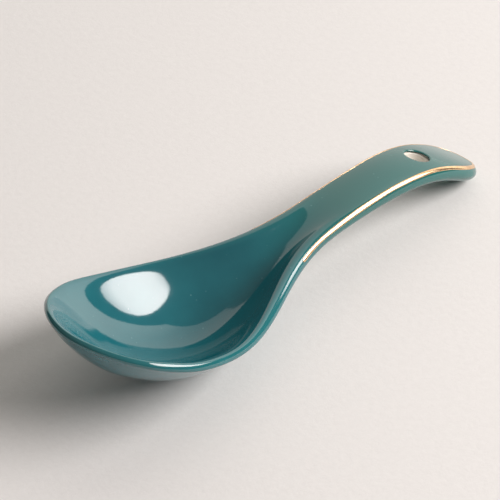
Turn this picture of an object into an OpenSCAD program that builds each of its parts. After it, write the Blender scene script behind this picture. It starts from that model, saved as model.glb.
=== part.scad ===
// Soup spoon of the Chinese kind: a deep oval bowl that runs through a narrow neck
// into a short arched handle with a hole to hang it by.
// It lies here as it lies on a table: the foot under the bowl and the end of the
// handle are down, so the front of the bowl stands up.
// Sizes in mm. X runs from the foot towards the handle, Z is up, the table is Z = 0.

/* [Length] */
// Whole length, bowl tip to handle end
overall_length = 140; // [125:1:155]
// From the bowl tip to the middle of the foot
foot_from_tip = 39; // [37:0.5:41]

/* [Bowl] */
// Width over the rim
bowl_width = 44.4; // [38:0.2:50]
// From the bowl tip to the widest place
widest_from_tip = 22; // [20:0.2:25]
// How full the front of the bowl is in plan: 2 is an ellipse
front_fullness = 1.8; // [1.6:0.05:2.1]
// Depth of the bowl under the line of its rim, close behind the lip
lip_depth = 5.3; // [4.6:0.1:6]
// From the bowl tip to that place
lip_from_tip = 5.5; // [5:0.1:6]
// Depth in the front of the bowl
front_depth = 8.5; // [7.8:0.1:9.4]
// From the bowl tip to that place
front_from_tip = 10; // [9:0.5:11]
// Depth in the widest part of the bowl
belly_depth = 11.9; // [10.8:0.1:13]
// From the bowl tip to that place
belly_from_tip = 22; // [20:0.5:24]
// Depth at the deepest place
bowl_depth = 12.1; // [11:0.1:13.4]
// From the bowl tip to the deepest place
deepest_from_tip = 34; // [32:0.5:36]
// Depth left at the heel, where the bowl turns up to the neck
heel_depth = 9.1; // [8:0.1:10]
// From the bowl tip to the heel
heel_from_tip = 48; // [45:0.5:51]
// How round the bowl is across: 1 is a parabola, less is flatter below
cross_round = 1; // [0.75:0.05:1.15]
// How much the wall turns up at the rim
rim_upturn = 0.08; // [0:0.01:0.2]
// Thickness of the wall at the rim, glaze included
rim_wall = 2.6; // [2.2:0.1:3.2]
// Thickness of the wall at the bottom, glaze included
bowl_wall = 3.4; // [3:0.1:4.2]
// How far up the wall keeps its thickness: 1 thins evenly, more thins near the rim
wall_taper = 2.5; // [1.5:0.1:4]

/* [Line of the edge from the side] */
// Height of the rim at the bowl tip
rim_tip_height = 27.8; // [25:0.1:30.5]
// Height of the rim beside the front of the bowl
rim_front_height = 19.3; // [17.8:0.1:20.8]
// From the bowl tip to that place
rim_front_from_tip = 20; // [18:0.5:22]
// Height of the rim at its lowest, beside the heel
rim_low_height = 12.7; // [11.2:0.1:14]
// From the bowl tip to that place
rim_low_from_tip = 45; // [42:0.5:48]
// Height of the edge where it climbs to the handle
climb_height = 14.7; // [13.3:0.1:16.3]
// From the bowl tip to that place
climb_from_tip = 75; // [71:0.5:79]
// Height of the edge at the crest of the handle
crest_height = 15.4; // [14:0.1:17]
// From the bowl tip to the crest
crest_from_tip = 100; // [95:0.5:104]
// Height of the edge where the handle turns down
droop_height = 11.4; // [10.2:0.1:12.8]
// From the handle end to that place
droop_from_end = 18; // [15:0.5:21]

/* [Handle] */
// From the bowl tip to the narrowest place, the neck
neck_from_tip = 86; // [82:0.5:90]
// Width of the neck
neck_width = 14.4; // [12.5:0.1:17]
// Width of the handle near its end
end_width = 16.5; // [14.5:0.1:18.5]
// Length of the rounded end
end_round = 10.2; // [8.5:0.1:13]
// How square the rounded end is in plan: 2 is an ellipse
end_fullness = 2.6; // [2:0.05:3]
// Thickness of the handle, glaze included
handle_thickness = 4.4; // [3.8:0.1:5.2]
// Hollow along the neck
neck_hollow = 1; // [0.4:0.1:1.8]
// From the bowl tip to that hollow
hollow_from_tip = 80; // [76:0.5:85]
// Rise of the middle of the handle over its edges
handle_crown = 0.8; // [0.3:0.1:1.2]
// From the handle end to that crown
crown_from_end = 28; // [24:0.5:32]
// How square the edges are: 2 is a half circle
edge_squareness = 2.4; // [2:0.1:3]

/* [Hanging hole] */
// Diameter of the bare hole
hole_diameter = 6.6; // [5:0.1:7.4]
// From the handle end to the middle of the hole
hole_from_end = 20.7; // [18:0.1:24]

/* [Glaze and gold] */
// Thickness of the glaze
glaze = 0.4; // [0.3:0.05:0.6]
// Width of the gold line along the upper edge of the handle
gold_width = 1.5; // [1:0.1:2]
// Thickness of the gold line
gold_thickness = 0.15; // [0.1:0.05:0.3]
// From the bowl tip to the start of the gold line
gold_from_tip = 68; // [65:0.5:75]
// Where the gold line starts, in degrees down the outside of the edge from its top
gold_start_lean = 66; // [56:1:74]
// The same along the handle
gold_lean = 43; // [38:1:55]

/* [Foot] */
// Length of the flat foot
foot_length = 16; // [12:0.5:19]
// Width of the flat foot
foot_width = 11; // [8:0.5:13]
// How far the foot stands out below the bowl
foot_stand = 0.5; // [0.3:0.1:0.9]
// Gap left between the handle end and the table
end_gap = 0.1; // [0.05:0.05:0.3]

/* [Hidden] */
$fn = 72;
stations = 47;
across = 12;
tiny = 0.002;
// Reach of the corner of an edge, where 1 is that of a half circle
end_corner = pow(2, 0.5 - 1 / edge_squareness);

x_tip = rim_wall / 2;
x_end = overall_length - handle_thickness / 2;
x_wide = widest_from_tip;
half_bowl = bowl_width / 2 - rim_wall / 2;
half_neck = neck_width / 2 - handle_thickness / 2;
half_end = end_width / 2 - handle_thickness / 2;

// Line of the edge, seen from the side, down to some height at the handle end
function edge_line(end_height) = [
    [x_tip, rim_tip_height],
    [rim_front_from_tip, rim_front_height],
    [rim_low_from_tip, rim_low_height],
    [climb_from_tip, climb_height],
    [crest_from_tip, crest_height],
    [overall_length - droop_from_end, droop_height],
    [x_end, end_height]
];
// Hollow of the middle line below that edge; a crown counts as less than none
hollow_points = [
    [x_tip, 0],
    [lip_from_tip, lip_depth],
    [front_from_tip, front_depth],
    [belly_from_tip, belly_depth],
    [deepest_from_tip, bowl_depth],
    [heel_from_tip, heel_depth],
    [hollow_from_tip, neck_hollow],
    [overall_length - crown_from_end, -handle_crown],
    [x_end, 0]
];
hollow_bends = bends(hollow_points);

// The spoon is lifted until the lowest place under the bowl leaves room for the foot,
// and the handle end is then brought down to the table
free_points = edge_line(handle_thickness / 2);
free_bends = bends(free_points);
lift = foot_stand - min([for (x = [deepest_from_tip - 6 : 0.5 : heel_from_tip]) lowest(x)]);
function lowest(x) =
    let (
        z = on_curve(free_points, free_bends, x) - hollow(x),
        s = (on_curve(free_points, free_bends, x + tiny) - hollow(x + tiny) - z) / tiny
    ) z - half_thick(x, 0) * sqrt(1 + s * s);
edge_points = edge_line(end_gap + end_corner * handle_thickness / 2 - lift);
edge_bends = bends(edge_points);

// Smooth step from 0 to 1
function ease(t) = let (u = min(1, max(0, t))) u * u * u * (10 - 15 * u + 6 * u * u);

// Smooth curve through points: bending at each point, none at the two ends
function bends(p) = let (f = bends_out(p, 1, 0, 0)) concat([0], bends_back(f, len(f) - 1, 0), [0]);
function bends_out(p, i, c, d) = i > len(p) - 2 ? [] :
    let (
        h0 = p[i].x - p[i - 1].x,
        h1 = p[i + 1].x - p[i].x,
        r = 6 * ((p[i + 1].y - p[i].y) / h1 - (p[i].y - p[i - 1].y) / h0),
        q = 2 * (h0 + h1) - h0 * c
    ) concat([[h1 / q, (r - h0 * d) / q]], bends_out(p, i + 1, h1 / q, (r - h0 * d) / q));
function bends_back(f, i, m) = i < 0 ? [] :
    let (b = f[i][1] - f[i][0] * m) concat(bends_back(f, i - 1, b), [b]);
function on_curve(p, m, x) =
    let (
        i = max([for (k = [0 : len(p) - 2]) if (k == 0 || x >= p[k].x) k]),
        h = p[i + 1].x - p[i].x,
        a = (p[i + 1].x - x) / h,
        b = (x - p[i].x) / h
    ) a * p[i].y + b * p[i + 1].y + ((a * a * a - a) * m[i] + (b * b * b - b) * m[i + 1]) * h * h / 6;

// Height of the edge and hollow of the middle line
function edge_z(x) = on_curve(edge_points, edge_bends, x);
function hollow(x) = on_curve(hollow_points, hollow_bends, x);

// Half width of the plan, along the middle of the wall
function half_width(x) =
    let (
        front = min(1, max(0, (x_wide - x) / (x_wide - x_tip))),
        last = min(1, max(0, (x - x_end + end_round) / end_round)),
        body = half_bowl + (half_neck - half_bowl) * ease((x - x_wide) / (neck_from_tip - x_wide))
             + (half_end - half_neck) * ease((x - neck_from_tip) / (x_end - neck_from_tip))
    ) body * pow(1 - pow(front, front_fullness), 1 / front_fullness)
           * pow(1 - pow(last, end_fullness), 1 / end_fullness);

// Half thickness, from the bowl to the handle: at the edge, and v across from -1 to 1
function to_neck(x) = ease((x - x_wide) / (neck_from_tip - x_wide));
function half_rim(x) = (rim_wall + (handle_thickness - rim_wall) * to_neck(x)) / 2;
function half_thick(x, v) =
    let (low = (bowl_wall + (handle_thickness - bowl_wall) * to_neck(x)) / 2)
    half_rim(x) + (low - half_rim(x)) * (1 - pow(abs(v), wall_taper));

// Slope of the middle line
function slope_of(x) =
    (edge_z(x + tiny) - hollow(x + tiny) - edge_z(x - tiny) + hollow(x - tiny)) / (2 * tiny);

// Rise of the wall from its middle to its edge, as a share of the hollow.
// At the tip it is as round as the plan, so that the rim runs round without a corner.
tip_round = 2 - front_fullness / 2;
function rise(x, v) =
    let (
        t = ease((x - x_tip) / (x_wide - x_tip)),
        r = tip_round + (cross_round - tip_round) * t,
        u = rim_upturn * t,
        q = v * v
    ) r * q + (1 - r - u) * q * q + u * pow(q, 5);

// Middle of the wall at x, v across from -1 to 1, and the way square to it
function height(x, y) = edge_z(x) + lift - hollow(x) * (1 - rise(x, y / half_width(x)));
function middle(x, v) = let (y = v * half_width(x)) [x - foot_from_tip, y, height(x, y)];
function square_to(x, v) =
    let (
        y = v * half_width(x),
        zx = (height(x + tiny, y) - height(x - tiny, y)) / (2 * tiny),
        zy = (height(x, y + tiny) - height(x, y - tiny)) / (2 * tiny)
    ) unit([-zx, -zy, 1]);
function outward(x, side) =
    let (
        g = (half_width(x + tiny) - half_width(x - tiny)) / (2 * tiny),
        e = (edge_z(x + tiny) - edge_z(x - tiny)) / (2 * tiny)
    ) unit(cross(square_to(x, side), [1, side * g, e]) * side);
function unit(a) = a / norm(a);

// Turns from the top of an edge, round its outside, to the bottom, where the edge points up by some angle.
// The second to fourth bound the gold line.
gold_half_turn = gold_width / handle_thickness * 180 / PI;
gold_last = 3;
steps = 8;
function gold_turn(x, up) = let (t = ease((x - gold_from_tip) / (x_end - end_round - gold_from_tip)))
    max(gold_half_turn + 8, up + gold_start_lean + (gold_lean - gold_start_lean) * t);
function turns(x, up) = let (g = gold_turn(x, up), last = g + gold_half_turn) concat(
    [0, g - gold_half_turn, g],
    [for (k = [0 : 5]) last + (180 - last) * k / 5]
);
function bent(c) = sign(c) * pow(abs(c), 2 / edge_squareness);
function round_edge(x, m, n, o, r) =
    [for (t = turns(x, atan2(o.z, n.z))) m + r * (bent(cos(t)) * n + bent(sin(t)) * o)];

// Places along the spoon, close together at both ends
function station(i) = x_tip + (x_end - x_tip) * (1 - cos(180 * i / (stations + 1))) / 2;
// One of them is the start of the gold line
places = concat(
    [for (i = [1 : stations]) if (station(i) < gold_from_tip - 1) station(i)],
    [gold_from_tip],
    [for (i = [1 : stations]) if (station(i) > gold_from_tip + 1) station(i)]
);
function share(j) = sin(90 * (2 * j / across - 1));

// Edge of the spoon at a place, and at its two ends, with the surface set in by some amount
function edge_at(x, side, inset) =
    round_edge(x, middle(x, side), square_to(x, side), outward(x, side), half_rim(x) - inset);
function edge_at_end(x, way, inset) =
    let (
        s = slope_of(x),
        n = unit([-s, 0, 1])
    ) round_edge(x, middle(x, 0), n, way * [n.z, 0, -n.x], half_rim(x) - inset);

// One closed loop of points: over the top, round one edge, back below, round the other edge
function loop_at(x, inset) =
    let (
        right = edge_at(x, 1, inset),
        left = edge_at(x, -1, inset),
        thick = [for (j = [0 : across]) (half_thick(x, share(j)) - inset) * square_to(x, share(j))]
    ) concat(
        [for (j = [0 : across]) middle(x, share(j)) + thick[j]],
        [for (k = [1 : steps - 1]) right[k]],
        [for (j = [across : -1 : 0]) middle(x, share(j)) - thick[j]],
        [for (k = [steps - 1 : -1 : 1]) left[k]]
    );
ring = 2 * (across + steps);

// Whole spoon as one skin, set in by some amount
module spoon_skin(inset) {
    first = edge_at_end(x_tip + tiny, -1, inset);
    last = edge_at_end(x_end - tiny, 1, inset);
    loops = [for (x = places) each loop_at(x, inset)];
    at_last = steps + 1 + ring * len(places);
    polyhedron(
        points = concat(first, loops, last),
        faces = concat(
            end_faces(0, steps + 1, true),
            [for (i = [0 : len(places) - 2], k = [0 : ring - 1])
                let (
                    a = steps + 1 + i * ring + k,
                    b = steps + 1 + i * ring + (k + 1) % ring
                ) each [[a, b + ring, a + ring], [a, b, b + ring]]],
            end_faces(at_last, at_last - ring, false)
        ),
        convexity = 6
    );
}

// Faces from the edge at one end of the spoon to the loop next to it
function end_faces(p, q, turned) =
    let (
        right = [for (k = [0 : steps]) q + across + k],
        left = concat([q], [for (k = [1 : steps]) q + ring - k]),
        under = q + across + steps,
        all = concat(
            [for (j = [0 : across - 1]) [p, q + j, q + j + 1]],
            [for (j = [0 : across - 1]) [p + steps, under + j, under + j + 1]],
            [for (k = [0 : steps - 1]) each [
                [p + k, right[k], right[k + 1]], [p + k, right[k + 1], p + k + 1],
                [p + k, left[k + 1], left[k]], [p + k, p + k + 1, left[k + 1]]
            ]]
        )
    ) turned ? [for (f = all) [f[0], f[2], f[1]]] : all;

// Hole across the handle, square to its middle line. It stays bare: the spoon hangs by it
// on a pin while the glaze is fired.
module hanging_hole() {
    x = overall_length - hole_from_end;
    n = square_to(x, 0);
    translate(middle(x, 0)) rotate([0, atan2(n.x, n.z), 0])
        cylinder(d = hole_diameter, h = 4 * handle_thickness, center = true);
}

// Flat oval foot under the bowl, which reaches up into the wall, set in by some amount
module foot(inset) {
    translate([0, 0, inset]) linear_extrude(foot_stand + bowl_wall * 0.7 - inset)
        polygon([for (a = [0 : 10 : 350])
            [(foot_length / 2 - inset) * cos(a), (foot_width / 2 - inset) * sin(a)]]);
}

// Spoon with its foot, set in by some amount
module footed_spoon(inset) {
    spoon_skin(inset);
    foot(inset);
}

// Fired clay of bowl, neck and handle, pierced
module clay_body() {
    color([0.93, 0.9, 0.85])
    difference() {
        footed_spoon(glaze);
        hanging_hole();
    }
}

// Coloured glaze over all the clay but the wall of the hole
module glaze_coat() {
    color([0.1, 0.36, 0.4])
    difference() {
        footed_spoon(0);
        footed_spoon(glaze);
        hanging_hole();
    }
}

// Gold line over the glaze, along one upper edge, round the end and back along the other
module gold_line() {
    gilt = [for (x = places) if (x >= gold_from_tip) x];
    n = len(gilt);
    rings = concat(
        [for (i = [0 : n - 1]) gold_section(edge_at(gilt[i], 1, 0), edge_at(gilt[i], 1, -gold_thickness))],
        [gold_section(edge_at_end(x_end - tiny, 1, 0), edge_at_end(x_end - tiny, 1, -gold_thickness))],
        [for (i = [n - 1 : -1 : 0])
            gold_section(edge_at(gilt[i], -1, 0), edge_at(gilt[i], -1, -gold_thickness))]
    );
    c = len(rings[0]);
    color([0.83, 0.6, 0.3])
    polyhedron(
        points = [for (r = rings) each r],
        faces = concat(
            [[for (k = [c - 1 : -1 : 0]) k]],
            [for (i = [0 : len(rings) - 2], k = [0 : c - 1])
                let (
                    a = i * c + k,
                    b = i * c + (k + 1) % c
                ) each [[a, b + c, a + c], [a, b, b + c]]],
            [[for (k = [0 : c - 1]) (len(rings) - 1) * c + k]]
        ),
        convexity = 6
    );
}
function gold_section(under, over) =
    concat([for (k = [gold_last : -1 : 1]) under[k]], [for (k = [1 : gold_last]) over[k]]);

clay_body();
glaze_coat();
gold_line();
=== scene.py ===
import math

import bmesh
import bpy
import numpy as np
from mathutils import Matrix


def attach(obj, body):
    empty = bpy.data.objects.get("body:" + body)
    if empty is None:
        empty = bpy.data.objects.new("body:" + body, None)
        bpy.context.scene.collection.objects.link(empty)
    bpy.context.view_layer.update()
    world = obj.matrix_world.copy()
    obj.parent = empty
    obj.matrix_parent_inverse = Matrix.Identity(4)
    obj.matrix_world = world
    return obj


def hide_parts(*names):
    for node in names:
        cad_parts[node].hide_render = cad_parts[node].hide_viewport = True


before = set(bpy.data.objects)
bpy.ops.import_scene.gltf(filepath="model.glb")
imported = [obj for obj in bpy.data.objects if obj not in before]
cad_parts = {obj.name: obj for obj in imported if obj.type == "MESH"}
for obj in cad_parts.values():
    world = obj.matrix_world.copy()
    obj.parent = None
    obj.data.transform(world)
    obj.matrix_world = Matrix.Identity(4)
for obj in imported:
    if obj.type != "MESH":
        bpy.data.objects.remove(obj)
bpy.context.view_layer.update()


# Clay body: bowl, neck and arched handle pressed in one piece from pale clay, pierced while soft and
# fired. The glaze hides all of it but the wall of the hole, which stays bare because the spoon hangs
# by it on a pin in the kiln. Sizes are in mm, and places are measured from the tip of the bowl.
MM = 0.001
foot_place = 39.0
tip, end = 1.3, 137.8
widest, neck, end_round = 22.0, 86.0, 10.2
half_bowl, half_neck, half_end = 20.9, 5.0, 6.05
front_fullness, end_fullness = 1.8, 2.6
cross_round, neck_round, rim_flare = 1.0, 0.9, 0.12
flatten_from, flatten_over = 36.0, 34.0
rim_wall, bowl_wall, handle_wall, wall_taper = 2.6, 3.4, 4.4, 2.5
lift = 0.0893
rim_squareness, handle_squareness = 3.0, 1.8
lip_reach, lip_to, lip_ease, lip_side = 12.0, 30.0, 25.0, 0.45
side_from, side_ease = 4.0, 12.0
hole_place = 119.3
hole_radius = 3.3
foot_length, foot_width, foot_skirt = 16.0, 11.0, 1.2
glaze_depth = 0.4


def smooth_curve(points):
    """Curve through points with no bending at its two ends."""
    x, y = np.array(points, float).T
    h = np.diff(x)
    bend = np.eye(len(x))
    load = np.zeros(len(x))
    for i in range(1, len(x) - 1):
        bend[i, i - 1:i + 2] = h[i - 1], 2 * (h[i - 1] + h[i]), h[i]
        load[i] = 6 * ((y[i + 1] - y[i]) / h[i] - (y[i] - y[i - 1]) / h[i - 1])
    m = np.linalg.solve(bend, load)

    def height(q):
        i = np.clip(np.searchsorted(x, q) - 1, 0, len(x) - 2)
        b = (q - x[i]) / h[i]
        a = 1 - b
        return a * y[i] + b * y[i + 1] + ((a**3 - a) * m[i] + (b**3 - b) * m[i + 1]) * h[i]**2 / 6
    return height


def ease(t):
    u = np.clip(t, 0, 1)
    return u**3 * (10 - 15 * u + 6 * u * u)


def evened(drawn, first, last, spread):
    """Drawn curve with its bends spread out between two places."""
    step, reach, ease_in, ease_out = 0.01, 2400, 8, 20
    fine = np.linspace(tip, end, int(round((end - tip) / step)) + 1)
    near = np.exp(-0.5 * (np.arange(-reach, reach + 1) * step / spread)**2)
    line = drawn(fine)
    even = np.convolve(np.pad(line, reach, mode="reflect", reflect_type="odd"), near / near.sum(), "valid")
    taken = ease((fine - first) / ease_in) * (1 - ease((fine - last + ease_out) / ease_out))
    line = line + (even - line) * taken
    return lambda x: np.where((x > first) & (x < last), np.interp(x, fine, line), drawn(x))


edge_height = evened(smooth_curve([(tip, 27.8), (20, 19.3), (45, 12.7), (75, 14.7), (100, 15.4),
                                   (122, 11.4), (end, 2.343)]), first=9, last=110, spread=4)
hollow = evened(smooth_curve([(tip, 0), (5.5, 4.9), (10, 8.4), (22, 11.9), (34, 12.1), (48, 9.1), (80, 1),
                              (112, -0.8), (end, 0)]), first=9, last=110, spread=4)


def drawn_half_width(x):
    front = np.clip((widest - x) / (widest - tip), 0, 1)
    last = np.clip((x - end + end_round) / end_round, 0, 1)
    body = (half_bowl + (half_neck - half_bowl) * ease((x - widest) / (neck - widest))
            + (half_end - half_neck) * ease((x - neck) / (end - neck)))
    return (body * (1 - front**front_fullness)**(1 / front_fullness)
            * (1 - last**end_fullness)**(1 / end_fullness))


half_width = evened(drawn_half_width, first=9, last=65, spread=3)


def to_neck(x):
    return ease((x - widest) / (neck - widest))


def half_rim(x):
    return (rim_wall + (handle_wall - rim_wall) * to_neck(x)) / 2


def unit(a):
    return a / np.linalg.norm(a, axis=-1, keepdims=True)


def rise(x, v):
    """Rise of the wall from its middle to its edge, as a share of the hollow."""
    t = ease((x - tip) / (widest - tip))
    tip_round = 2 - front_fullness / 2
    flatter = ease((x - flatten_from) / flatten_over)
    r = tip_round + (cross_round - tip_round) * t + (neck_round - cross_round) * flatter
    flare = rim_flare * t * (1 - flatter)
    return r * v**2 + (1 - r + flare) * v**4 - flare * v**10


def wall_height(x, y):
    return edge_height(x) + lift - hollow(x) * (1 - rise(x, np.abs(y) / half_width(x)))


def off_ends(x, shy=0.02):
    return np.clip(x, tip + shy, end - shy)


def wall_middle(x, y, step=0.002):
    """Middle of the wall at a place seen from above, and the way square to it."""
    x, y = np.broadcast_arrays(x, y)
    near = off_ends(x)
    y = np.sign(y) * np.minimum(np.abs(y), half_width(near))
    zx = (wall_height(near + step, y) - wall_height(near - step, y)) / (2 * step)
    zy = (wall_height(near, y + step) - wall_height(near, y - step)) / (2 * step)
    place = np.stack([x - foot_place, y, wall_height(near, y) + (x - near) * zx], -1)
    return place, unit(np.stack([-zx, -zy, np.ones_like(zx)], -1))


def lip_curve(far):
    """Share of the wall left at a distance from the rim, where the lip thins from the inside."""
    return np.sqrt(1 - (1 - np.clip(far / lip_reach, 0, 1))**2)


def lip_front(x):
    """How much of that thinning the rim has along the spoon: all at the tip, less at the sides."""
    near_tip = lip_side + (1 - lip_side) * (1 - ease((x - side_from) / side_ease))
    return near_tip * (1 - ease((x - lip_to) / lip_ease))


def on_skin(x, y, side, inset, left=1):
    """Points on the upper (1) or under (-1) side of the wall, some way inside it."""
    place, upright = wall_middle(x, y)
    v = np.abs(place[..., 1]) / half_width(off_ends(x))
    low = (bowl_wall + (handle_wall - bowl_wall) * to_neck(x)) / 2
    thick = half_rim(x) + (low - half_rim(x)) * (1 - v**wall_taper)
    return place + (side * (thick * left - inset))[..., None] * upright


# Half of the outline, from the tip to the handle end, with its length and its direction.
half_turn = np.linspace(0, math.pi, 8001)
outline_x = tip + (end - tip) * (1 - np.cos(half_turn)) / 2
outline_y = half_width(outline_x)
outline_y[[0, -1]] = 0
outline = np.stack([outline_x, outline_y, edge_height(outline_x)], -1)
outline_run = np.concatenate([[0], np.cumsum(np.linalg.norm(np.diff(outline[:, :2], axis=0), axis=1))])
outline_way = np.gradient(outline, outline_run, axis=0)

hole_centre, hole_axis = wall_middle(np.array([hole_place]), np.array([0.0]))
hole_centre, hole_axis = hole_centre[0], hole_axis[0]
hole_along = np.array([hole_axis[2], 0, -hole_axis[0]])


def run_at(x):
    return np.interp(x, outline_x, outline_run)


def hole_border(turn, radius, side, inset):
    """Places whose skin lies at some distance from the axis of the hole."""
    x, y = hole_place + radius * np.cos(turn), radius * np.sin(turn)
    for _ in range(30):
        p = on_skin(x, y, side, inset) - hole_centre
        x = x + hole_along[0] * (radius * np.cos(turn) - p @ hole_along)
        y = y + radius * np.sin(turn) - p[:, 1]
    return x, np.abs(y)


def under_place(far_x, far_y, inset):
    """Places whose underside lies at some place seen from above."""
    x, y = foot_place + far_x, far_y
    for _ in range(30):
        p = on_skin(x, y, -1, inset)
        x, y = x + far_x - p[..., 0], y + far_y - p[..., 1]
    return x, y


def bent(c, x):
    """Sine or cosine bent to give the edge a squarer or rounder section."""
    squareness = rim_squareness + (handle_squareness - rim_squareness) * to_neck(x)
    return np.sign(c) * np.abs(c)**(2 / squareness)[:, None]


def edge_ways(run):
    """Middle of the edge at places along the outline, the way square to the wall and the way outward."""
    x, y = np.interp(run, outline_run, outline_x), np.interp(run, outline_run, outline_y)
    place, upright = wall_middle(x, y)
    place[:, 1], place[:, 2] = y, edge_height(x) + lift
    way = np.stack([np.interp(run, outline_run, outline_way[:, k]) for k in range(3)], -1)
    return x, place, upright, unit(np.cross(upright, way))


def edge_round(run, turns, radius):
    """Points round the edge, from its top over the outside to below."""
    x, place, upright, outward = edge_ways(run)
    up, out = bent(np.cos(turns), x), bent(np.sin(turns), x)
    wall = half_rim(x)[:, None]
    left = wall * lip_curve(wall) - (wall - radius)
    nose = lip_curve(radius * (1 - out)) / lip_curve(radius) * left / radius
    up = np.where(np.cos(turns) > 0, up + (nose - up) * lip_front(x)[:, None], up)
    way = up[..., None] * upright[:, None] + out[..., None] * outward[:, None]
    return place[:, None] + radius[..., None] * way


def active(piece):
    bpy.ops.object.select_all(action="DESELECT")
    piece.select_set(True)
    bpy.context.view_layer.objects.active = piece


def choose(piece, wanted):
    """In edit mode, select the open edges whose two ends are wanted."""
    bpy.ops.mesh.select_mode(type="EDGE")
    bpy.ops.mesh.select_all(action="DESELECT")
    sheet = bmesh.from_edit_mesh(piece.data)
    for e in sheet.edges:
        if e.is_boundary and all(wanted(np.array(v.co) / MM) for v in e.verts):
            e.select_set(True)
    bmesh.update_edit_mesh(piece.data)


def shift_chosen(piece, where):
    sheet = bmesh.from_edit_mesh(piece.data)
    chosen = [v for v in sheet.verts if v.select]
    for v, place in zip(chosen, where(np.array([v.co for v in chosen]) / MM)):
        v.co = place * MM
    bmesh.update_edit_mesh(piece.data)


def press_spoon(name, inset, bore, mouth, fan, sides, under):
    """Press a flat sheet into half a spoon skin, mirror it, stand it on its foot and pierce it.
    bore is the radius of the hole, mouth the rounding of its rims. fan, sides and under are how
    finely the sheet is divided along the spoon, round the edge and across each side."""
    spine_start, spine_end = 17.0, 130.0
    foot_from, foot_to, hole_from, hole_to, end_from = 27.0, 51.0, 110.3, 128.3, 132.0
    neck_from, neck_to = 62.0, 95.0
    foot_flat, weld = 0.86, 0.002
    marks = [0] + [float(run_at(x)) for x in (spine_start, foot_from, foot_to, hole_from, hole_to, end_from)]
    marks.append(float(outline_run[-1]))
    counts = [int(round(fan * c)) for c in (26, 7, 28, 46, 36, 6, 14)]
    lengths = zip(marks, marks[1:], counts)
    run = np.concatenate([[0]] + [np.linspace(a, b, n + 1)[1:] for a, b, n in lengths])
    first_foot, last_foot = sum(counts[:2]), sum(counts[:3])
    first_hole, last_hole = sum(counts[:4]), sum(counts[:5])
    out_x, out_y = np.interp(run, outline_run, outline_x), np.interp(run, outline_run, outline_y)
    out_y[[0, -1]] = 0

    hole_turn = np.linspace(math.pi, 0, last_hole - first_hole + 1)
    foot_turn = np.linspace(math.pi, 0, last_foot - first_foot + 1)
    inner = {}
    for side in (1, -1):
        hx, hy = hole_border(hole_turn, bore + mouth, side, inset)
        hy[[0, -1]] = 0
        keys = [(0, spine_start), (marks[1], spine_start), (float(run_at(neck_from)), neck_from),
                (float(run_at(neck_to)), neck_to), (marks[4], hx[0]), (marks[5], hx[-1]),
                (marks[6], spine_end), (marks[7], spine_end)]
        if side < 0:
            fx, fy = under_place((foot_length / 2 - inset) * foot_skirt * np.cos(foot_turn),
                                 (foot_width / 2 - inset) * foot_skirt * np.sin(foot_turn), inset)
            fy[[0, -1]] = 0
            keys += [(marks[2], fx[0]), (marks[3], fx[-1])]
        keys.sort()
        x = np.interp(run, [k[0] for k in keys], [k[1] for k in keys])
        y = np.zeros_like(x)
        x[first_hole:last_hole + 1], y[first_hole:last_hole + 1] = hx, hy
        if side < 0:
            x[first_foot:last_foot + 1], y[first_foot:last_foot + 1] = fx, fy
        inner[side] = (x, y)

    def rows(side, count):
        share = np.linspace(0, 1, count + 1)
        x0, y0 = inner[side]
        x = x0[:, None] + (out_x - x0)[:, None] * share
        y = y0[:, None] + (out_y - y0)[:, None] * share
        skin = on_skin(x, y, side, inset)
        if side < 0:
            return skin
        length = np.linalg.norm(skin[:, -1] - skin[:, 0], axis=-1)[:, None]
        far = half_rim(out_x)[:, None] + length * (1 - share)
        return on_skin(x, y, side, inset, 1 + (lip_curve(far) - 1) * lip_front(out_x)[:, None])

    turns = np.radians(np.linspace(0, 180, sides + 1))
    radius = np.repeat((half_rim(out_x) - inset)[:, None], len(turns), 1)
    rim = edge_round(run, np.repeat(turns[None], len(run), 0), radius)
    top, below = rows(1, under + 4), rows(-1, under)[:, ::-1]
    skin = np.concatenate([top[:, :-1], rim, below[:, 1:]], 1)
    skin[[0, -1], :, 1] = 0
    edge_share = np.concatenate([np.linspace(0, 1, top.shape[1])[:-1]**4 * 0.5,
                                 0.5 + 0.5 * np.sin(turns),
                                 np.linspace(1, 0, below.shape[1])[1:]**4 * 0.5])

    columns, steps = skin.shape[0] - 1, skin.shape[1] - 1
    bpy.ops.object.select_all(action="DESELECT")
    bpy.ops.mesh.primitive_grid_add(x_subdivisions=columns, y_subdivisions=steps, size=2)
    piece = bpy.context.active_object
    piece.name = piece.data.name = name
    worn = piece.data.attributes.new("edge", "FLOAT", "POINT")
    for v in piece.data.vertices:
        column, step = round((v.co.x + 1) / 2 * columns), round((v.co.y + 1) / 2 * steps)
        v.co = skin[column, step] * MM
        worn.data[v.index].value = edge_share[step]
    mirror = piece.modifiers.new("other half", "MIRROR")
    mirror.use_axis = (False, True, False)
    mirror.merge_threshold = 0.001 * MM
    bpy.ops.object.modifier_apply(modifier=mirror.name)
    bpy.ops.object.mode_set(mode="EDIT")
    bpy.ops.mesh.select_all(action="SELECT")
    bpy.ops.mesh.remove_doubles(threshold=weld * MM)
    bpy.ops.mesh.normals_make_consistent(inside=False)

    # The open oval below is drawn in and down to the flat foot.
    long, wide = foot_length / 2 - inset, foot_width / 2 - inset
    choose(piece, lambda p: (p[0] / long)**2 + (p[1] / wide)**2 < (foot_skirt + 0.02)**2 and p[2] < 5)
    shares = [1.16, 1.12, 1.09, 1.06, 1.03, 1.0, 0.97, 0.94, 0.91, 0.88, 0.84, 0.7, 0.5, 0.3, 0.1]
    for before, share in zip([foot_skirt] + shares, shares):
        bpy.ops.mesh.extrude_edges_move()

        def drawn(p):
            x, y = p[:, 0] * share / before, p[:, 1] * share / before
            bowl = on_skin(*under_place(x, y, inset), -1, inset)[:, 2]
            down = ease((foot_skirt - share) / (foot_skirt - foot_flat))
            return np.stack([x, y, bowl + (inset - bowl) * down], -1)
        shift_chosen(piece, drawn)
    bpy.ops.mesh.merge(type="CENTER")

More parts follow.
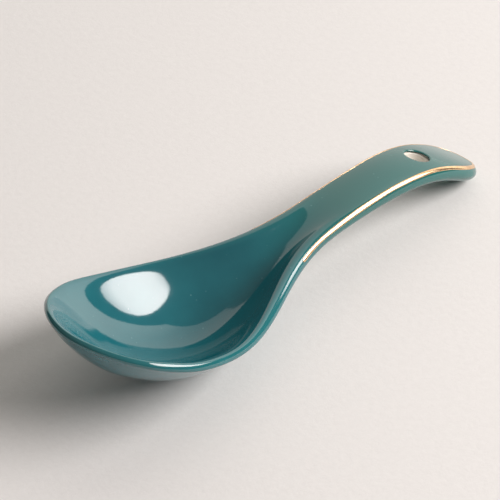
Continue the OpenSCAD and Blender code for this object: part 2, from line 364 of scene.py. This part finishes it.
    # The rims of the hole roll over into the bore.
    def at_hole(p):
        q = p - hole_centre
        return np.linalg.norm(q - (q @ hole_axis) * hole_axis) < bore + mouth + 0.05

    roll = np.radians(np.linspace(0, 90, 7))
    for side in (1, -1):
        choose(piece, lambda p: at_hole(p) and (p - hole_centre) @ hole_axis * side > 0)
        for a, b in zip(roll, roll[1:]):
            bpy.ops.mesh.extrude_edges_move()
            down = side * mouth * (math.cos(b) - math.cos(a))
            shrink = (bore + mouth * (1 - math.sin(b))) / (bore + mouth * (1 - math.sin(a)))

            def rolled(p):
                q = p - hole_centre
                h = (q @ hole_axis)[:, None]
                return hole_centre + (q - h * hole_axis) * shrink + (h + down) * hole_axis
            shift_chosen(piece, rolled)
    return piece, at_hole


def paint(name):
    material = bpy.data.materials.new(name)
    material.use_nodes = True
    tree = material.node_tree
    shader = tree.nodes["Principled BSDF"]

    def node(kind, **settings):
        n = tree.nodes.new(kind)
        for key, value in settings.items():
            if key in n.inputs:
                n.inputs[key].default_value = value
            else:
                setattr(n, key, value)
        return n
    return material, shader, node, tree.links.new


clay_inset = glaze_depth + 0.02
clay_bore, bare_bore = hole_radius + clay_inset, hole_radius + 0.04
clay, at_bore = press_spoon("spoon_clay", inset=clay_inset, bore=clay_bore, mouth=0.38, fan=0.6,
                            sides=10, under=10)
for side in (1, -1):
    choose(clay, lambda p: at_bore(p) and (p - hole_centre) @ hole_axis * side > 0)
    bpy.ops.mesh.extrude_edges_move()

    def ledge(p):
        q = p - hole_centre
        h = (q @ hole_axis)[:, None]
        return hole_centre + (q - h * hole_axis) * bare_bore / clay_bore + h * hole_axis
    shift_chosen(clay, ledge)
choose(clay, at_bore)
bpy.ops.mesh.bridge_edge_loops(number_cuts=6)
bpy.ops.mesh.select_all(action="SELECT")
bpy.ops.mesh.normals_make_consistent(inside=False)
bpy.ops.object.mode_set(mode="OBJECT")
active(clay)
bpy.ops.object.shade_smooth()

bare_clay, shader, node, link = paint("bare_clay")
place = node("ShaderNodeTexCoord")
grain = node("ShaderNodeTexNoise", Scale=1400.0, Detail=6.0, Roughness=0.65)
tint = node("ShaderNodeValToRGB")
tint.color_ramp.elements[0].color = (0.80, 0.73, 0.64, 1)
tint.color_ramp.elements[1].color = (0.90, 0.86, 0.79, 1)
rough = node("ShaderNodeBump", Strength=0.5, Distance=0.00006)
link(place.outputs["Object"], grain.inputs["Vector"])
link(grain.outputs["Fac"], tint.inputs["Fac"])
link(tint.outputs["Color"], shader.inputs["Base Color"])
link(grain.outputs["Fac"], rough.inputs["Height"])
link(rough.outputs["Normal"], shader.inputs["Normal"])
shader.inputs["Roughness"].default_value = 0.85
clay.data.materials.append(bare_clay)
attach(clay, "root")
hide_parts("clay_body")


# Glaze coat: one unbroken coat of teal glass melted over the clay, which stops at the rims of the
# hole. It lies smooth and wet-looking, a little thinner over the edges, with a few pale flecks.
glaze, _ = press_spoon("spoon_glaze", inset=0, bore=hole_radius, mouth=0.45, fan=1, sides=20, under=20)
bpy.ops.mesh.select_all(action="SELECT")
bpy.ops.mesh.normals_make_consistent(inside=False)
bpy.ops.object.mode_set(mode="OBJECT")
active(glaze)
coat = glaze.modifiers.new("coat", "SOLIDIFY")
coat.thickness = glaze_depth * MM
coat.offset = -1
bpy.ops.object.modifier_apply(modifier=coat.name)
bpy.ops.object.shade_smooth()

teal_glaze, shader, node, link = paint("teal_glaze")
place = node("ShaderNodeTexCoord")
cloud = node("ShaderNodeTexNoise", Scale=60.0, Detail=5.0, Roughness=0.6)
link(place.outputs["Object"], cloud.inputs["Vector"])
tint = node("ShaderNodeValToRGB")
tint.color_ramp.elements[0].position = 0.32
tint.color_ramp.elements[0].color = (0.008, 0.114, 0.140, 1)
tint.color_ramp.elements[1].position = 0.68
tint.color_ramp.elements[1].color = (0.012, 0.142, 0.170, 1)
link(cloud.outputs["Fac"], tint.inputs["Fac"])
# Deep and blue where it pooled in the bowl, greener on the handle and where it drew back from
# the edges.
ways = node("ShaderNodeSeparateXYZ")
link(place.outputs["Object"], ways.inputs[0])
to_handle = node("ShaderNodeMapRange", interpolation_type="SMOOTHSTEP")
to_handle.inputs["From Min"].default_value, to_handle.inputs["From Max"].default_value = 0.02, 0.055
link(ways.outputs["X"], to_handle.inputs["Value"])
pooled = node("ShaderNodeMix", data_type="RGBA")
pooled.inputs[7].default_value = (0.012, 0.120, 0.113, 1)
link(to_handle.outputs[0], pooled.inputs[0])
link(tint.outputs["Color"], pooled.inputs[6])
worn = node("ShaderNodeAttribute", attribute_name="edge")
thin = node("ShaderNodeValToRGB")
thin.color_ramp.elements[0].position = 0.55
thin.color_ramp.elements[0].color = (0, 0, 0, 1)
thin.color_ramp.elements[1].color = (0.3, 0.3, 0.3, 1)
link(worn.outputs["Fac"], thin.inputs["Fac"])
drawn_back = node("ShaderNodeMix", data_type="RGBA")
drawn_back.inputs[7].default_value = (0.030, 0.180, 0.165, 1)
link(thin.outputs["Color"], drawn_back.inputs[0])
link(pooled.outputs[2], drawn_back.inputs[6])
# Pale flecks, one in a few cells, and a faint unevenness of the melted surface.
fleck = node("ShaderNodeTexVoronoi", Scale=620.0)
link(place.outputs["Object"], fleck.inputs["Vector"])
dot = node("ShaderNodeValToRGB")
dot.color_ramp.elements[0].position = 0.05
dot.color_ramp.elements[0].color = (1, 1, 1, 1)
dot.color_ramp.elements[1].position = 0.16
dot.color_ramp.elements[1].color = (0, 0, 0, 1)
link(fleck.outputs["Distance"], dot.inputs["Fac"])
some = node("ShaderNodeValToRGB")
some.color_ramp.elements[0].position = 0.62
some.color_ramp.elements[0].color = (0, 0, 0, 1)
some.color_ramp.elements[1].position = 0.95
some.color_ramp.elements[1].color = (0.5, 0.5, 0.5, 1)
link(fleck.outputs["Color"], some.inputs["Fac"])
few = node("ShaderNodeMath", operation="MULTIPLY")
link(dot.outputs["Color"], few.inputs[0])
link(some.outputs["Color"], few.inputs[1])
flecked = node("ShaderNodeMix", data_type="RGBA")
flecked.inputs[7].default_value = (0.16, 0.36, 0.38, 1)
link(few.outputs[0], flecked.inputs[0])
link(drawn_back.outputs[2], flecked.inputs[6])
link(flecked.outputs[2], shader.inputs["Base Color"])
ripple = node("ShaderNodeTexNoise", Scale=260.0, Detail=2.0, Roughness=0.4)
link(place.outputs["Object"], ripple.inputs["Vector"])
skin = node("ShaderNodeBump", Strength=0.05, Distance=0.0002)
link(ripple.outputs["Fac"], skin.inputs["Height"])
link(skin.outputs["Normal"], shader.inputs["Normal"])
gloss = node("ShaderNodeMapRange")
gloss.inputs["To Min"].default_value, gloss.inputs["To Max"].default_value = 0.05, 0.09
link(cloud.outputs["Fac"], gloss.inputs["Value"])
link(gloss.outputs[0], shader.inputs["Roughness"])
shader.inputs["IOR"].default_value = 1.6
shader.inputs["Specular IOR Level"].default_value = 0.7
glaze.data.materials.append(teal_glaze)
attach(glaze, "root")
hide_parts("glaze_coat")


# Gold line: liquid gold brushed along the upper edge of the handle after the glaze fire, from the
# neck round the end and back, and fired on. It is a thin raised film with a soft edge.
gold_from, gold_half, gold_rise, gold_film = 68.0, 16.0, 0.09, 0.1
start_lean, handle_lean = 52.0, 32.0
columns, steps = 150, 10
run = np.linspace(float(run_at(gold_from)), float(outline_run[-1]), columns + 1)
along = run - run[0]
start = np.sqrt(1 - (1 - np.clip(along, 0, 1))**2) * 0.85 + 0.15
# The brush begins round, and the hand lets the width and the place wander a little.
wander = (0.5 * np.sin(along * 0.31) + 0.3 * np.sin(along * 0.83 + 1.0)
          + 0.2 * np.sin(along * 1.9 + 2.0))
out_x, _, upright, outward = edge_ways(run)
lean = start_lean + (handle_lean - start_lean) * ease((out_x - gold_from) / (end - end_round - gold_from))
middle = np.degrees(np.arctan2(outward[:, 2], upright[:, 2])) + lean
off_top = 4.0
middle = np.maximum(middle, gold_half + off_top) + 0.4 * np.sin(along * 0.47 + 0.6)
share = np.linspace(-1, 1, steps + 1)
turns = np.radians(middle[:, None] + ((gold_half + 0.8 * wander) * start)[:, None] * share)
radius = half_rim(out_x)[:, None] + gold_rise * (1 - share**4)[None] * start[:, None]
stroke = edge_round(run, turns, radius)
stroke[-1, :, 1] = 0
bpy.ops.object.select_all(action="DESELECT")
bpy.ops.mesh.primitive_grid_add(x_subdivisions=columns, y_subdivisions=steps, size=2)
gold = bpy.context.active_object
gold.name = gold.data.name = "gold_stroke"
for v in gold.data.vertices:
    v.co = stroke[round((v.co.x + 1) / 2 * columns), round((v.co.y + 1) / 2 * steps)] * MM
mirror = gold.modifiers.new("other half", "MIRROR")
mirror.use_axis = (False, True, False)
mirror.merge_threshold = 0.001 * MM
bpy.ops.object.modifier_apply(modifier=mirror.name)
bpy.ops.object.mode_set(mode="EDIT")
bpy.ops.mesh.select_all(action="SELECT")
bpy.ops.mesh.remove_doubles(threshold=0.001 * MM)
bpy.ops.mesh.normals_make_consistent(inside=False)
bpy.ops.object.mode_set(mode="OBJECT")
film = gold.modifiers.new("film", "SOLIDIFY")
film.thickness = gold_film * MM
film.offset = -1
bpy.ops.object.modifier_apply(modifier=film.name)
bpy.ops.object.shade_smooth()

fired_gold, shader, node, link = paint("fired_gold")
place = node("ShaderNodeTexCoord")
brush = node("ShaderNodeTexNoise", Scale=420.0, Detail=4.0, Roughness=0.6)
link(place.outputs["Object"], brush.inputs["Vector"])
tint = node("ShaderNodeValToRGB")
tint.color_ramp.elements[0].position = 0.3
tint.color_ramp.elements[0].color = (0.74, 0.45, 0.23, 1)
tint.color_ramp.elements[1].position = 0.7
tint.color_ramp.elements[1].color = (0.90, 0.63, 0.39, 1)
link(brush.outputs["Fac"], tint.inputs["Fac"])
link(tint.outputs["Color"], shader.inputs["Base Color"])
gloss = node("ShaderNodeMapRange")
gloss.inputs["To Min"].default_value, gloss.inputs["To Max"].default_value = 0.12, 0.28
link(brush.outputs["Fac"], gloss.inputs["Value"])
link(gloss.outputs[0], shader.inputs["Roughness"])
stroke_skin = node("ShaderNodeBump", Strength=0.2, Distance=0.00004)
link(brush.outputs["Fac"], stroke_skin.inputs["Height"])
link(stroke_skin.outputs["Normal"], shader.inputs["Normal"])
shader.inputs["Metallic"].default_value = 1
gold.data.materials.append(fired_gold)
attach(gold, "root")
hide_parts("gold_line")


# Studio: a pale paper-covered table, a large oval softbox to the right and a wide pale panel
# standing behind, both fading to one end, in a dim room that is lighter overhead. A long lens
# looks down from the front left.
bpy.ops.object.select_all(action="DESELECT")
bpy.ops.mesh.primitive_plane_add(size=4)
table = bpy.context.active_object
table.name = "table"
pale_table, shader, node, link = paint("pale_table")
place = node("ShaderNodeTexCoord")
fibre = node("ShaderNodeTexNoise", Scale=520.0, Detail=6.0, Roughness=0.7)
link(place.outputs["Object"], fibre.inputs["Vector"])
tint = node("ShaderNodeValToRGB")
tint.color_ramp.elements[0].position = 0.3
tint.color_ramp.elements[0].color = (0.800, 0.785, 0.775, 1)
tint.color_ramp.elements[1].position = 0.7
tint.color_ramp.elements[1].color = (0.830, 0.815, 0.805, 1)
link(fibre.outputs["Fac"], tint.inputs["Fac"])
link(tint.outputs["Color"], shader.inputs["Base Color"])
weave = node("ShaderNodeBump", Strength=0.25, Distance=0.0003)
link(fibre.outputs["Fac"], weave.inputs["Height"])
link(weave.outputs["Normal"], shader.inputs["Normal"])
shader.inputs["Roughness"].default_value = 0.9
shader.inputs["Specular IOR Level"].default_value = 0.2
table.data.materials.append(pale_table)


def lamp(name, shape, azimuth, elevation, distance, width, height, radiance, roll=0.0):
    """Flat lamp that faces the spoon, turned by roll."""
    a, e = math.radians(azimuth), math.radians(elevation)
    data = bpy.data.lights.new(name, "AREA")
    data.shape = shape
    data.size, data.size_y = width, height
    data.energy = radiance * math.pi * width * height * (math.pi / 4 if shape == "ELLIPSE" else 1)
    light = bpy.data.objects.new(name, data)
    bpy.context.scene.collection.objects.link(light)
    light.location = (distance * math.cos(a) * math.cos(e), distance * math.sin(a) * math.cos(e),
                      distance * math.sin(e))
    turned = (Matrix.Rotation(a + math.pi / 2, 3, "Z") @ Matrix.Rotation(math.pi / 2 - e, 3, "X")
              @ Matrix.Rotation(math.radians(roll), 3, "Z"))
    light.rotation_euler = turned.to_euler()
    return light


def fade(light, across, upward):
    """Let a lamp's brightness change across it and up it, each from 0 to 1 of its size."""
    light.data.use_nodes = True
    tree = light.data.node_tree
    place, parts = (tree.nodes.new("ShaderNode" + k) for k in ("NewGeometry", "SeparateXYZ"))
    tree.links.new(place.outputs["Parametric"], parts.inputs[0])
    for way, stops, socket in ((0, across, "Color"), (1, upward, "Strength")):
        ramp = tree.nodes.new("ShaderNodeValToRGB")
        while len(ramp.color_ramp.elements) < len(stops):
            ramp.color_ramp.elements.new(0.5)
        for element, (where, level) in zip(ramp.color_ramp.elements, stops):
            element.position, element.color = where, (level, level, level, 1)
        tree.links.new(parts.outputs[way], ramp.inputs["Fac"])
        tree.links.new(ramp.outputs["Color"], tree.nodes["Emission"].inputs[socket])


softbox = lamp("softbox", "ELLIPSE", azimuth=-47, elevation=35, distance=1.3, width=1.25, height=0.74,
               radiance=10.45, roll=-24)
softbox.data.color = (1.0, 0.95, 0.93)
fade(softbox, across=[(0, 0.6), (0.14, 0.95), (0.3, 1), (0.55, 0.97), (0.8, 0.85), (1, 0.4)],
     upward=[(0, 1), (1, 1)])
panel = lamp("panel", "RECTANGLE", azimuth=35.5, elevation=0, distance=1.0, width=1.94, height=1.98,
             radiance=1.85)
panel.location.z = 0.99
panel.data.color = (1.0, 0.97, 0.90)
fade(panel, across=[(0, 1), (0.12, 0.9), (0.32, 0.6), (0.6, 0.45), (1, 0.4)], upward=[(0, 1), (1, 0.7)])

room_low, room_high, room_reach = 0.04, 0.21, 0.7
world = bpy.data.worlds.new("studio")
bpy.context.scene.world = world
world.use_nodes = True
sky = world.node_tree
sky.nodes["Background"].inputs["Color"].default_value = (1.0, 0.94, 0.88, 1)
way, parts, height = (sky.nodes.new("ShaderNode" + k) for k in ("TexCoord", "SeparateXYZ", "MapRange"))
height.inputs["From Max"].default_value = room_reach
height.inputs["To Min"].default_value, height.inputs["To Max"].default_value = room_low, room_high
sky.links.new(way.outputs["Generated"], parts.inputs[0])
sky.links.new(parts.outputs["Z"], height.inputs["Value"])
sky.links.new(height.outputs[0], sky.nodes["Background"].inputs["Strength"])

view_azimuth, view_elevation, view_distance = math.radians(-45.79), math.radians(38.80), 0.6
target = np.array([0.02012, 0, 0.0193])
back = np.array([math.sin(view_azimuth) * math.cos(view_elevation),
                 -math.cos(view_azimuth) * math.cos(view_elevation), math.sin(view_elevation)])
camera = bpy.data.objects.new("camera", bpy.data.cameras.new("camera"))
camera.data.lens, camera.data.sensor_width = 180.29, 36
camera.location = target + back * view_distance
camera.rotation_euler = (math.pi / 2 - view_elevation, 0, view_azimuth)
bpy.context.scene.collection.objects.link(camera)
bpy.context.scene.camera = camera
bpy.context.scene.view_settings.view_transform = "Standard"
